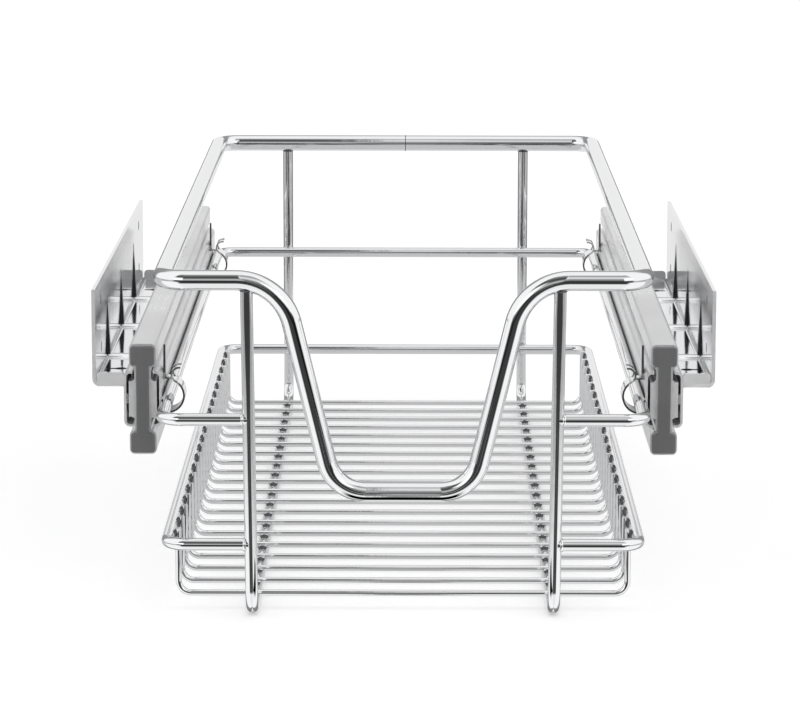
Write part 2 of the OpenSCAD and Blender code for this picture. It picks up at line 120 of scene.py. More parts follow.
class BASKET_PG_wire(bpy.types.PropertyGroup):
    """Gauges and bends of the basket's wires"""

    handle_wire: length("Handle wire", "Diameter of the top frame and handle wire", 8.0)
    frame_wire: length("Frame wire", "Diameter of the middle frame, rim and cradle wires", 5.0)
    cross_wire: length("Cross wire", "Diameter of the basket's cross wires", 2.5)
    corner_bend: length("Top corner bend", "Centreline radius at the top frame's corners", 10.0)
    frame_bend: length("Frame corner bend", "Centreline radius at the open frames' corners", 8.0)
    handle_drop: length("Handle drop", "Depth of the handle's dip, centre to centre", 84.0)
    handle_top: length("Handle top width", "Width between the corners above the dip", 95.0)
    handle_bottom: length("Handle bottom width", "Width between the corners in the dip", 54.0)
    handle_top_bend: length("Handle top bend", "Radius where the handle turns down", 22.0)
    handle_bottom_bend: length("Handle bottom bend", "Radius at the bottom of the dip", 16.0)
    cradle_bend: length("Cradle bend", "Radius where an upright turns into a runner", 10.0)
    leg_bend: length("Cross wire bend", "Radius at the foot of a cross wire's legs", 5.0)
    cross_pitch: length("Cross wire pitch", "Distance from one cross wire to the next", 20.8)
    bead: length("Weld bead", "How far a weld bead stands out from the wire", 0.35)
    splay: length("Upright splay", "How far the front uprights lean out at the top", 1.5)
    round_facets: count("Facets round the wire", "Sides of the handle wire", 28, min=8, max=64)
    bend_facets: count("Facets along a bend", "Steps along each bend", 14, min=4, max=48)
    seed: count("Bead seed", "Fixed seed of the beads' small differences", 7)


class BASKET_PG_slide(bpy.types.PropertyGroup):
    """Sizes of the slides' balls, heads and caps"""

    ball: length("Ball", "Diameter of the bearing balls", 3.175)
    ball_pitch: length("Ball pitch", "Distance from one ball to the next", 20.0)
    balls: count("Balls", "Balls in each row of a cage", 10, min=2, max=20)
    head_height: length("Head height", "Height of each head of the middle rail", 9.5)
    head_corner: length("Head corner", "Outer radius of the heads' corners", 2.0)
    waist: length("Waist", "Width of the middle rail's waist", 6.7)
    cap_inset: length("Cap inset", "How far a cap stands in from the rail's outline", 0.8)
    cap_face: length("Cap face", "Thickness of a cap's face in front of the rail", 2.0)
    cap_round: length("Cap rounding", "Radius of the moulded front edge", 0.6)
    crease: angle("Crease", "Angle above which an edge stays sharp", 32, min=0.0, max=math.pi)


class BASKET_PG_sheet(bpy.types.PropertyGroup):
    """Sizes of the pressed brackets and clips"""

    thickness: length("Bracket sheet", "Thickness of the brackets' sheet", 1.5)
    bracket_reach: length("Bracket reach", "Distance from the slide to the cabinet wall", 15.0)
    wall_flange: length("Wall flange", "Height of the flange against the cabinet wall", 40.0)
    lip: length("End lip", "Width of the upturned lip at each end", 11.2)
    clip: length("Clip sheet", "Thickness of the saddle clips' sheet", 0.85)
    tongue: length("Clip tongue", "Height of the bare tongue on a saddle clip", 13.5)
    lip_lean: angle("Lip lean", "How far the end lips lean outwards", 12)


class BASKET_PG_finish(bpy.types.PropertyGroup):
    """Colours and gloss of the finishes"""

    chrome: tint("Chrome", "Tint of the chrome plating", 0.86, 0.865, 0.875)
    chrome_gloss: share("Chrome roughness", "Roughness of the chrome plating", 0.045)
    zinc: tint("Zinc", "Tint of the zinc-plated rails", 0.95, 0.952, 0.958)
    zinc_gloss: share("Zinc roughness", "Roughness of the zinc plating", 0.33)
    cut_edge: tint("Cut edge", "Tint of the sheared ends of sheet and rails", 0.86, 0.862, 0.87)
    # Partly painted shade: the welds' dull plating is darkened nearly to black so that the beads
    # outline the wire crossings.
    weld: tint("Weld", "Tint of the thin, dull plating on the welds", 0.12, 0.12, 0.123)
    spring: tint("Spring steel", "Tint of the clips' bare tongues", 0.12, 0.12, 0.125)
    # Painted shade: a near-black tint for the brackets' keyhole walls and rib flanks.
    punched_shade: tint("Punched edge", "Tint of punched walls and rib flanks", 0.10, 0.10, 0.105)
    cage: tint("Cage steel", "Tint of the ball cages", 0.50, 0.505, 0.52)
    ball: tint("Ball steel", "Tint of the polished balls", 0.72, 0.725, 0.74)
    rivet: tint("Rivet steel", "Tint of the rivets", 0.58, 0.585, 0.60)
    plastic: tint("Cap plastic", "Colour of the moulded caps", 0.19, 0.191, 0.195)
    plastic_gloss: share("Plastic roughness", "Roughness of the moulded caps", 0.36)


class BASKET_PG_stage(bpy.types.PropertyGroup):
    """Camera, floor and light of the stage"""

    camera_place: bpy.props.FloatVectorProperty(
        name="Camera place", description="Where the camera stands",
        default=(0.0029, -1.6110, 0.3590), size=3, subtype="TRANSLATION", unit="LENGTH",
    )
    camera_pitch: angle("Camera pitch", "How far the camera looks down", 10.308)
    camera_yaw: angle("Camera yaw", "How far the camera turns to the left", 0.172)
    camera_roll: angle("Camera roll", "How far the camera leans", 0.092)
    lens: bpy.props.FloatProperty(
        name="Lens", description="Focal length in millimetres", default=163.5, min=20.0
    )
    floor: tint("Floor", "Colour of the floor sheet", 0.86, 0.86, 0.86)
    floor_glow: share("Floor glow", "Light that the floor sheet gives off by itself", 0.38, 2.0)
    floor_front: bpy.props.FloatProperty(
        name="Floor front", description="Where the floor starts", default=-1.40, unit="LENGTH"
    )
    strip: share("Strip light", "Brightness of the low light ahead on the left", 0.55)
    boxes: share("Soft boxes", "Brightness of the two soft boxes beside it", 0.9, 4.0)
    walls: share("Walls", "Brightness of the white side walls and ceiling", 1.05, 4.0)
    back: share("Back window", "Brightness of the window straight behind", 0.90, 4.0)


# ---------------------------------------------------------------- node helpers


def feed(tree, node, inputs):
    """Feeds a node's inputs, by name or number, from other nodes' outputs or plain values."""
    for key, value in inputs.items():
        if isinstance(value, bpy.types.NodeSocket):
            tree.links.new(value, node.inputs[key])
        else:
            node.inputs[key].default_value = value


def add_node(tree, kind, inputs, **settings):
    """Adds a node with those settings and inputs; returns its outputs."""
    node = tree.nodes.new(kind)
    for setting, value in settings.items():
        setattr(node, setting, value)
    feed(tree, node, inputs)
    return node.outputs


def sum_node(tree, job, *numbers):
    """A Math node on outputs or plain numbers; returns its output."""
    return add_node(tree, "ShaderNodeMath", dict(enumerate(numbers)), operation=job)[0]


def times(tree, product, *factors):
    for factor in factors:
        product = sum_node(tree, "MULTIPLY", product, factor)
    return product


def split_axes(tree, vector):
    return add_node(tree, "ShaderNodeSeparateXYZ", {"Vector": vector})


def ramp_up(tree, value, low, high, low_out=0.0, high_out=1.0):
    """Goes smoothly from low_out to high_out as value goes from low to high."""
    kind, way = "ShaderNodeMapRange", "SMOOTHSTEP"
    ends = {"From Min": low, "From Max": high, "To Min": low_out, "To Max": high_out}
    return add_node(tree, kind, {"Value": value, **ends}, interpolation_type=way)["Result"]


def inside(tree, *borders):
    """Rises smoothly to 1 as each value crosses its (from, to) border."""
    return times(tree, *(ramp_up(tree, value, *border) for value, border in borders))


def tones(tree, value, *marks):
    """Grey tones read off a value between (mark, tone) pairs."""
    low, high = marks[0][0], marks[-1][0]
    ends = {"Value": value, "From Min": low, "From Max": high}
    ramp = tree.nodes.new("ShaderNodeValToRGB")
    feed(tree, ramp, {"Fac": add_node(tree, "ShaderNodeMapRange", ends)["Result"]})
    stops = ramp.color_ramp.elements
    for i, (mark, tone) in enumerate(marks):
        place = (mark - low) / (high - low)
        stop = stops[i] if i < 2 else stops.new(place)  # a new ramp comes with two stops
        stop.position = place
        stop.color = (tone, tone, tone, 1.0)
    return ramp.outputs["Color"]


def blend(tree, factor, one, two, **settings):
    """Goes from one value to the other as the factor goes from 0 to 1."""
    ends = {"Factor": factor, "A": one, "B": two}
    return add_node(tree, "ShaderNodeMix", ends, **settings)["Result"]


def two_tones(tree, factor, dark, light):
    """Goes from the dark colour to the light one as the factor goes from 0 to 1."""
    return blend(tree, factor, dark, light, data_type="RGBA")


def grain(tree, place, scale, detail=3.0, roughness=0.5):
    """Soft noise of that scale; returns its grey output."""
    looks = {"Vector": place, "Scale": scale, "Detail": detail, "Roughness": roughness}
    return add_node(tree, "ShaderNodeTexNoise", looks)["Fac"]


def stretched(tree, place, stretch):
    return add_node(tree, "ShaderNodeMapping", {"Vector": place, "Scale": stretch})["Vector"]


def dented(tree, height, strength, depth, **under):
    """Bumps a surface by the height, over any Normal given; returns the new normal."""
    looks = {"Height": height, "Strength": strength, "Distance": depth}
    return add_node(tree, "ShaderNodeBump", {**looks, **under})["Normal"]


# ---------------------------------------------------------------- finishes

WHITE = (1.0, 1.0, 1.0, 1.0)
CLOUD_SHARE, LINE_SHARE = 0.7, 0.3  # of the plating's cloudy tone
TONE_EDGES, GLOSS_SPREAD = (0.25, 0.75), (0.75, 1.3)
# Painted shade in nooks: ambient occlusion borders, and the share of the colour left in the
# darkest nook.
NOOK_EDGES, NOOK_SHADE_TONE = (0.25, 0.72), 0.22

# The floor's light: borders across and along the sheet, as (from, to) pairs, and tones.
FAR_SIDES, FAR_TONES, FAR_START = (0.55, 0.70), (0.05, 0.50), (-0.40, -0.50)
BACK_SIDES, BACK_TONES = (0.26, 0.36), (0.85, 0.20)
FAN_SIDES, FAN_SPREAD, FAN_START, FAN_TONE = (0.92, 1.10), 1.2, 0.24, 0.50
POOL_END, POOL_TONE = (0.18, 0.34), 0.60
PATCH_FRONT, PATCH_BACK, PATCH_SIDES = (-0.272, -0.260), (-0.219, -0.226), (0.055, 0.035)
GAP_BACK, GAP_FRONT = (-0.12, -0.22), (-0.66, -0.58)


def start_finish(name):
    """A new material with its tree, its shader and its Object coordinates."""
    finish = bpy.data.materials.new(name)
    finish.use_nodes = True
    tree = finish.node_tree
    place = add_node(tree, "ShaderNodeTexCoord", {})["Object"]
    return finish, tree, tree.nodes["Principled BSDF"], place


def scaled(colour, factor):
    return (*(min(1.0, part * factor) for part in colour), 1.0)


def metal_finish(
    name, colour, roughness, cloud, cloud_scale, stretch=(1, 1, 1), scratch=900.0, dent=0.00001,
    ripple=0.0, shade_reach=0.0, metal=1.0,
):
    """Plated steel: cloudy tone, fine drawing lines along the stretch, an uneven gloss and painted
    shade that darkens the colour in nooks."""
    finish, tree, shader, place = start_finish(name)
    lines = grain(tree, stretched(tree, place, stretch), scratch, detail=4.0, roughness=0.6)
    clouds = grain(tree, place, cloud_scale)
    tone = sum_node(tree, "ADD", times(tree, clouds, CLOUD_SHARE), times(tree, lines, LINE_SHARE))
    plate = two_tones(tree, tone, scaled(colour, 1.0 - cloud), scaled(colour, 1.0 + cloud))
    # Painted shade: the colour darkens where ambient occlusion finds surfaces close by.
    if shade_reach:
        shade = add_node(tree, "ShaderNodeAmbientOcclusion", {"Distance": shade_reach}, samples=6)["AO"]
        bare = ramp_up(tree, shade, *NOOK_EDGES)
        plate = two_tones(tree, bare, scaled(colour, NOOK_SHADE_TONE), plate)
    gloss = (roughness * part for part in GLOSS_SPREAD)
    normal = dented(tree, lines, 0.35, dent)
    if ripple:
        waves = grain(tree, place, scale=95.0, detail=1.0)
        normal = dented(tree, waves, 1.0, ripple, Normal=normal)
    feed(tree, shader, {
        "Metallic": metal,
        "Base Color": plate,
        "Roughness": ramp_up(tree, tone, *TONE_EDGES, *gloss),
        "Normal": normal,
    })
    return finish


def plastic_finish(name, colour, roughness):
    """Moulded plastic: fine spark-eroded grain and a faint flow cloud."""
    finish, tree, shader, place = start_finish(name)
    pits = grain(tree, place, scale=2600.0, detail=2.0)
    flow = grain(tree, stretched(tree, place, (1.0, 1.0, 0.35)), scale=130.0, detail=2.0)
    feed(tree, shader, {
        "Base Color": two_tones(tree, flow, scaled(colour, 0.86), scaled(colour, 1.14)),
        "Roughness": ramp_up(tree, pits, 0.3, 0.7, roughness * 0.88, roughness * 1.15),
        "Normal": dented(tree, pits, strength=0.3, depth=0.00006),
        "IOR": 1.48,
    })
    return finish


def floor_finish(name, colour, glow):
    """White paper sheet. It throws a pool of light at the metal that falls off to the front and
    back, and in a gap before the pool it lets the metal see through it."""
    finish, tree, shader, place = start_finish(name)
    fibres = grain(tree, place, scale=60.0, detail=2.0)
    feed(tree, shader, {
        "Base Color": two_tones(tree, fibres, scaled(colour, 0.995), scaled(colour, 1.005)),
        "Roughness": 0.9,
        "Specular IOR Level": 0.1,
        "Emission Color": WHITE,
        "Emission Strength": glow,
    })
    across, along, _ = split_axes(tree, place)
    wide = sum_node(tree, "ABSOLUTE", across)
    far = blend(tree, ramp_up(tree, wide, *FAR_SIDES), *FAR_TONES)
    back = blend(tree, ramp_up(tree, wide, *BACK_SIDES), *BACK_TONES)
    behind = sum_node(tree, "MAXIMUM", along, 0.0)
    fan = sum_node(tree, "MULTIPLY_ADD", behind, FAN_SPREAD, FAN_START)
    beside = ramp_up(tree, sum_node(tree, "DIVIDE", wide, fan), *FAN_SIDES)
    back = blend(tree, beside, back, FAN_TONE)
    pool = blend(tree, ramp_up(tree, along, *POOL_END), POOL_TONE, back)
    pool = blend(tree, ramp_up(tree, along, *FAR_START), pool, far)
    patch = inside(tree, (along, PATCH_FRONT), (along, PATCH_BACK), (wide, PATCH_SIDES))
    gap = inside(tree, (along, GAP_BACK), (along, GAP_FRONT))
    thrown = {"Strength": blend(tree, patch, pool, 0.0)}
    sheet = add_node(tree, "ShaderNodeMixShader", {
        "Fac": times(tree, gap, sum_node(tree, "SUBTRACT", 1.0, patch)),
        1: add_node(tree, "ShaderNodeEmission", thrown)[0],
        2: add_node(tree, "ShaderNodeBsdfTransparent", {})[0],
    })[0]
    show(tree, tree.nodes["Material Output"], sheet, shader.outputs[0])
    return finish


def show(tree, output, thrown, seen):
    """Ends a tree in one shader for the metal's mirrored light and one for the camera."""
    camera = add_node(tree, "ShaderNodeLightPath", {})["Is Camera Ray"]
    mixed = add_node(tree, "ShaderNodeMixShader", {"Fac": camera, 1: thrown, 2: seen})[0]
    feed(tree, output, {"Surface": mixed})


def finish_named(name):
    """Makes the finish on its first call, and hands the same one back later."""
    if name in bpy.data.materials:
        return bpy.data.materials[name]
    look = bpy.context.scene.basket_finish
    if name == "moulded_cap_plastic":
        return plastic_finish(name, look.plastic, look.plastic_gloss)
    along = (1.0, 0.02, 1.0)
    # Colour, roughness, strength and scale of the cloudy tone, and what else sets it apart.
    metals = {
        "chrome_plated_wire": (
            look.chrome, look.chrome_gloss, 0.015, 40.0, dict(ripple=0.00002, shade_reach=0.0035)
        ),
        "chrome_plated_sheet": (
            look.chrome, look.chrome_gloss * 1.6, 0.02, 30.0,
            dict(stretch=along, scratch=1500.0, dent=0.000004, ripple=0.00003, shade_reach=0.006),
        ),
        # Dull weld plating, darkened to paint shade where the wires cross.
        "dull_weld_steel_with_painted_shade": (look.weld, 0.22, 0.20, 900.0, dict(scratch=2500.0)),
        "cut_edge_steel": (look.cut_edge, 0.45, 0.06, 500.0, dict(scratch=2500.0, metal=0.35)),
        # Painted shade on the brackets' keyhole walls and rib flanks.
        "painted_shade_steel": (look.punched_shade, 0.50, 0.10, 700.0, dict(scratch=2500.0)),
        "zinc_plated_rail": (
            look.zinc, look.zinc_gloss, 0.04, 25.0,
            dict(stretch=along, scratch=1800.0, metal=0.72),
        ),
        "cage_steel": (look.cage, 0.34, 0.05, 60.0, dict(stretch=along, scratch=1200.0)),
        "ball_steel": (look.ball, 0.08, 0.02, 300.0, {}),
        "spring_steel": (look.spring, 0.30, 0.15, 600.0, dict(scratch=2200.0)),
        "rivet_steel": (look.rivet, 0.32, 0.05, 400.0, dict(scratch=2200.0)),
    }
    *basics, more = metals[name]
    return metal_finish(name, *basics, **more)


# ---------------------------------------------------------------- Geometry Nodes


def add_socket(tree, label, kind, default=None, way="INPUT"):
    made = tree.interface.new_socket(name=label, in_out=way, socket_type="NodeSocket" + kind)
    if default is not None:
        made.default_value = default


def new_tree(name, *labels):
    """A tree with geometry in and out and the named inputs; returns it and what it's given."""
    tree = bpy.data.node_groups.new(name, "GeometryNodeTree")
    add_socket(tree, "Geometry", "Geometry", way="OUTPUT")
    add_socket(tree, "Geometry", "Geometry")
    for label, kind, default in labels:
        add_socket(tree, label, kind, default)
    return tree, add_node(tree, "NodeGroupInput", {})


def finish_tree(tree, given, last):
    """Ends a tree in smooth shading, Realize Instances and Set Material."""
    for kind in ("SetShadeSmooth", "RealizeInstances"):
        last = add_node(tree, "GeometryNode" + kind, {"Geometry": last})[0]
    dressed = {"Geometry": last, "Material": given["Finish"]}
    last = add_node(tree, "GeometryNodeSetMaterial", dressed)[0]
    add_node(tree, "NodeGroupOutput", {"Geometry": last})
    return tree


def bent_wire_tree():
    """Rounds each corner of a path by the radius kept at its point, and draws wire along it in a
    row of copies."""
    if "Bent wire" in bpy.data.node_groups:
        return bpy.data.node_groups["Bent wire"]
    tree, given = new_tree(
        "Bent wire",
        ("Wire diameter", "Float", 0.005),
        ("Facets round the wire", "Int", 20),
        ("Facets along a bend", "Int", 10),
        ("Copies", "Int", 1),
        ("Pitch", "Float", 0.02),
        ("Finish", "Material", None),
    )
    path = add_node(tree, "GeometryNodeFilletCurve", {
        "Curve": given["Geometry"],
        "Count": given["Facets along a bend"],
        "Radius": add_node(tree, "GeometryNodeInputRadius", {})["Radius"],
    }, mode="POLY")["Curve"]
    ring = add_node(tree, "GeometryNodeCurvePrimitiveCircle", {
        "Resolution": given["Facets round the wire"],
        "Radius": times(tree, given["Wire diameter"], 0.5),
    })["Curve"]
    drawn = add_node(tree, "GeometryNodeCurveToMesh", {
        "Curve": add_node(tree, "GeometryNodeSetCurveRadius", {"Curve": path, "Radius": 1.0})[0],
        "Profile Curve": ring,
        "Fill Caps": True,
    })["Mesh"]
    row = add_node(tree, "GeometryNodeMeshLine", {
        "Count": given["Copies"],
        "Offset": add_node(tree, "ShaderNodeCombineXYZ", {"Y": given["Pitch"]})["Vector"],
    })["Mesh"]
    copies = add_node(tree, "GeometryNodeInstanceOnPoints", {"Points": row, "Instance": drawn})
    return finish_tree(tree, given, copies["Instances"])


def bead_tree():
    """Sets a round bead at each point, shaped by the point's own bead size, each a little
    different."""
    if "Round beads" in bpy.data.node_groups:
        return bpy.data.node_groups["Round beads"]
    tree, given = new_tree(
        "Round beads",
        ("Segments", "Int", 14),
        ("Unevenness", "Float", 0.0),
        ("Seed", "Int", 7),
        ("Finish", "Material", None),
    )
    size = add_node(
        tree, "GeometryNodeInputNamedAttribute", {"Name": "bead"}, data_type="FLOAT_VECTOR"
    )["Attribute"]
    chance = add_node(tree, "FunctionNodeRandomValue", {
        "Min": sum_node(tree, "SUBTRACT", 1.0, given["Unevenness"]),
        "Max": sum_node(tree, "ADD", 1.0, given["Unevenness"]),
        "Seed": given["Seed"],
    }, data_type="FLOAT")["Value"]
    uneven = {0: size, "Scale": chance}
    ball = add_node(tree, "GeometryNodeMeshUVSphere", {
        "Segments": given["Segments"],
        "Rings": times(tree, given["Segments"], 0.5),
        "Radius": 1.0,
    })["Mesh"]
    spread = add_node(tree, "GeometryNodeInstanceOnPoints", {
        "Points": given["Geometry"],
        "Instance": ball,
        "Scale": add_node(tree, "ShaderNodeVectorMath", uneven, operation="SCALE")["Vector"],
    })
    return finish_tree(tree, given, spread["Instances"])


# ---------------------------------------------------------------- mesh helpers

WIRE_CREASE = math.radians(50)  # sharper edges of a wire are the rims of its cut ends
SAME_POINT, SAME_LEVEL, NO_LENGTH = 2e-6, 1e-6, 1e-7
END_FACING, END_DEPTH = 0.99, 0.05 * MM


def put_in_scene(name, data):
    made = bpy.data.objects.new(name, data)
    bpy.context.scene.collection.objects.link(made)
    return made


def plain_mesh(source):
    """A plain mesh of the object as its modifiers leave it."""
    seen = source.evaluated_get(bpy.context.evaluated_depsgraph_get())
    return bpy.data.meshes.new_from_object(seen)


def run_tree(source, tree, name, **inputs):
    """Runs a tree on the object and swaps the object for the plain mesh that comes out."""
    modifier = source.modifiers.new(tree.name, "NODES")
    modifier.node_group = tree
    sockets = [item for item in tree.interface.items_tree if item.in_out == "INPUT"]
    keys = {item.name: item.identifier for item in sockets}
    for label, value in inputs.items():
        modifier[keys[label.replace("_", " ")]] = value
    mesh = plain_mesh(source)
    source.modifiers.remove(modifier)
    data = source.data
    bpy.data.objects.remove(source)
    (bpy.data.curves if isinstance(data, bpy.types.Curve) else bpy.data.meshes).remove(data)
    if not mesh.polygons:
        raise RuntimeError(f"{name} came out empty")
    mesh.name = name
    return put_in_scene(name, mesh)


def weigh_normals(piece):
    """Lets large faces set the normals, so that flat faces and straight runs mirror straight."""
    before = piece.data
    modifier = piece.modifiers.new("Large faces first", "WEIGHTED_NORMAL")
    modifier.keep_sharp = True
    piece.data = plain_mesh(piece)
    piece.modifiers.remove(modifier)
    bpy.data.meshes.remove(before)
    piece.data.name = piece.name
    return piece


def bend_wire(name, path, gauge, closed=False, copies=1, pitch=0.0, fine=1.0):
    """Bends wire along a path of (place, bend radius) knots; fine is its share of the facets."""
    sizes = bpy.context.scene.basket_wire
    curve = bpy.data.curves.new(name + "_path", "CURVE")
    curve.dimensions = "3D"
    line = curve.splines.new("POLY")
    line.points.add(len(path) - 1)
    for knot, (place, bend) in zip(line.points, path):
        knot.co = (*place, 1.0)
        knot.radius = bend
    line.use_cyclic_u = closed
    piece = run_tree(
        put_in_scene(name + "_path", curve), bent_wire_tree(), name,
        Wire_diameter=gauge,
        Facets_round_the_wire=round(sizes.round_facets * fine),
        Facets_along_a_bend=round(sizes.bend_facets * fine),
        Copies=copies,
        Pitch=pitch,
        Finish=finish_named("chrome_plated_wire"),
    )
    piece.data.set_sharp_from_angle(angle=WIRE_CREASE)
    return weigh_normals(piece)


def set_beads(name, beads, finish, segments, uneven=0.0):
    """Sets one bead at each (place, (x, y, z) half size)."""
    mesh = bpy.data.meshes.new(name + "_points")
    mesh.from_pydata([place for place, _ in beads], [], [])
    size = mesh.attributes.new("bead", "FLOAT_VECTOR", "POINT")
    for i, (_, half) in enumerate(beads):
        size.data[i].vector = half
    return run_tree(
        put_in_scene(name + "_points", mesh), bead_tree(), name,
        Segments=segments,
        Unevenness=uneven,
        Seed=bpy.context.scene.basket_wire.seed,
        Finish=finish_named(finish),
    )


def smooth_copy(node, name, finish, shape=None, crease=None):
    """A merged copy of a CAD solid: flat faces stay flat, round ones turn smooth and real edges
    stay sharp. It may be cut at the crease's height and then shaped, knot by knot."""
    mesh = bpy.data.meshes.new(name + "_source")
    form = bmesh.new()
    form.from_mesh(frame["nodes"][node].data)
    bmesh.ops.remove_doubles(form, verts=form.verts, dist=SAME_POINT)
    bmesh.ops.dissolve_degenerate(form, edges=form.edges, dist=NO_LENGTH)
    if crease:
        bmesh.ops.bisect_plane(
            form, geom=[*form.verts, *form.edges, *form.faces], dist=NO_LENGTH,
            plane_co=(0, 0, crease), plane_no=(0, 0, 1),
        )
    if shape:
        for knot in form.verts:
            shape(knot.co)
    bmesh.ops.dissolve_limit(
        form, angle_limit=math.radians(0.4), verts=form.verts, edges=form.edges
    )
    for face in form.faces:
        face.smooth = True
        face.material_index = 0
    form.to_mesh(mesh)
    form.free()
    mesh.set_sharp_from_angle(angle=bpy.context.scene.basket_slide.crease)
    for edge in mesh.edges if crease else ():
        one, two = (mesh.vertices[i].co for i in edge.vertices)
        if max(abs(one.z - crease), abs(two.z - crease), abs(one.y - two.y)) < SAME_LEVEL:
            edge.use_edge_sharp = True
    mesh.materials.append(finish_named(finish))
    return weigh_normals(put_in_scene(name, mesh))


def stand_for(piece, body, slot, *nodes):
    """The piece rides on its body and stands for those CAD solids, which it hides; its slot is not
    used.
    """
    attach(piece, body)
    if nodes:
        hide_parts(*nodes)


def body_of_node(node):
    bodies = frame["record"]["behaviour"]["bodies"]
    return next(body for body, nodes in bodies.items() if node in nodes)


def refinish(piece, finish, chosen):
    """Gives another finish to the faces that chosen(centre, normal) picks."""
    piece.data.materials.append(finish_named(finish))
    picked = [face for face in piece.data.polygons if chosen(face.center, face.normal)]
    for face in picked:
        face.material_index = len(piece.data.materials) - 1
    if not picked:
        raise RuntimeError(f"{piece.name} has no face for {finish}")


def dress(node, finish, slot, shape=None, crease=None):
    """Lets a smooth copy with a proper finish stand for a CAD solid, with dull cut ends."""
    piece = smooth_copy(node, node + "_skin", finish, shape, crease)
    low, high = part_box(node)
    if slot in ("rail_steel", "chrome_sheet") and "clip" not in node:
        refinish(
            piece, "cut_edge_steel",
            lambda centre, normal: abs(normal.y) > END_FACING
            and min(centre.y - low.y, high.y - centre.y) < END_DEPTH,
        )
    stand_for(piece, body_of_node(node), slot, node)
    return piece


# ---------------------------------------------------------------- wires

# The thinner wires' shares of the handle wire's facets.
FRAME_FACETS, CROSS_FACETS = 0.86, 0.58

# Half sizes of the weld beads along x, y and z, as shares of half the wire they sit on.
CROSSING_BEAD, RIM_BEAD, REAR_BEAD = (1.45, 1.6, 0.8), (0.8, 1.8, 1.7), (0.95, 0.5, 0.8)
BUTT_WELD, BUTT_PROUD, FLAT_BEAD, UNDER_TOP = 0.16, 0.3, 0.5, 0.93
WELD_SEGMENTS, FINE_SEGMENTS, WELD_UNEVENNESS = 14, 20, 0.08


def wire_places():
    """Centrelines of the wires, from the CAD boxes and the gauges."""
    sizes = bpy.context.scene.basket_wire
    thick, thin, fine = sizes.handle_wire / 2, sizes.frame_wire / 2, sizes.cross_wire / 2
    return {
        "front": TOP_LOW.y + thick,
        "rear": TOP_HIGH.y - thick,
        "top": TOP_HIGH.z - thick,
        "top_x": TOP_HIGH.x - thick,
        "rear_bar": MIDDLE_HIGH.y - thin,
        "middle": (MIDDLE_LOW.z + MIDDLE_HIGH.z) / 2,
        "middle_x": MIDDLE_HIGH.x - thin,
        "rim": (RIM_LOW.z + RIM_HIGH.z) / 2,
        "rim_x": RIM_HIGH.x - thin,
        "cradle_x": RUNNER_HIGH.x - thin,
        "runner": RUNNER_LOW.z + thin,
        "leg_x": CROSS_HIGH.x - fine,
        "leg_top": CROSS_HIGH.z,
        "cross": CROSS_LOW.z + fine,
        "first": CROSS_LOW.y + fine,
        "last": CROSS_HIGH.y - fine,
    }


def upright_x(at, side, z):
    """Where a front upright stands at that height: it leans out a little towards the top."""
    rise = (z - at["runner"]) / (at["top"] - at["runner"])
    return side * (at["cradle_x"] + bpy.context.scene.basket_wire.splay * rise)


def cross_rows(at):
    """Places of the cross wires along the basket."""
    pitch = bpy.context.scene.basket_wire.cross_pitch
    steps = round((at["last"] - at["first"]) / pitch)
    return [at["first"] + i * pitch for i in range(1 + steps)]


def mirrored(half):
    """A path's other half, from its far end back to the middle."""
    return [((-x, y, z), bend) for (x, y, z), bend in reversed(half)]


class BASKET_OT_top_frame(bpy.types.Operator):
    """Bend the top frame and its dipped handle from one closed length of wire"""

    bl_idname = "basket.top_frame"
    bl_label = "Top frame and handle"

    def execute(self, context):
        sizes, at = context.scene.basket_wire, wire_places()
        dip = at["top"] - sizes.handle_drop
        half = [
            ((sizes.handle_bottom / 2, at["front"], dip), sizes.handle_bottom_bend),
            ((sizes.handle_top / 2, at["front"], at["top"]), sizes.handle_top_bend),
            ((at["top_x"], at["front"], at["top"]), sizes.corner_bend),
            ((at["top_x"], at["rear"], at["top"]), sizes.corner_bend),
        ]
        path = half + mirrored(half)
        piece = bend_wire("top_frame_wire", path, sizes.handle_wire, closed=True)
        stand_for(piece, "basket", "chrome_wire", "top_frame")
        return {"FINISHED"}


class BASKET_OT_open_frames(bpy.types.Operator):
    """Bend the middle frame and the basket rim, which butt against the front uprights"""

    bl_idname = "basket.open_frames"
    bl_label = "Middle frame and rim"

    def execute(self, context):
        sizes, at = context.scene.basket_wire, wire_places()
        end = at["cradle_x"] + sizes.frame_wire / 4
        for node, half, z in (
            ("middle_frame", at["middle_x"], at["middle"]),
            ("basket_rim", at["rim_x"], at["rim"]),
        ):
            side = [
                ((half, at["rear_bar"], z), sizes.frame_bend),
                ((half, at["front"], z), sizes.frame_bend),
                ((end, at["front"], z), 0.0),
            ]
            path = mirrored(side) + side
            piece = bend_wire(node + "_wire", path, sizes.frame_wire, fine=FRAME_FACETS)
            stand_for(piece, "basket", "chrome_wire", node)
        return {"FINISHED"}


class BASKET_OT_cradle_wires(bpy.types.Operator):
    """Bend the two U-shaped wires that carry the basket: upright, runner, upright"""

    bl_idname = "basket.cradle_wires"
    bl_label = "Cradle wires"

    def execute(self, context):
        sizes, at = context.scene.basket_wire, wire_places()
        for word, side in SIDES.items():
            x = side * at["cradle_x"]
            path = [
                ((upright_x(at, side, at["top"]), at["front"], at["top"]), 0.0),
                ((x, at["front"], at["runner"]), sizes.cradle_bend),
                ((x, at["rear"], at["runner"]), sizes.cradle_bend),
                ((x, at["rear"], at["top"]), 0.0),
            ]
            node = "cradle_wire_" + word
            piece = bend_wire(node + "_bent", path, sizes.frame_wire, fine=FRAME_FACETS)
            stand_for(piece, "basket", "chrome_wire", node)
        return {"FINISHED"}


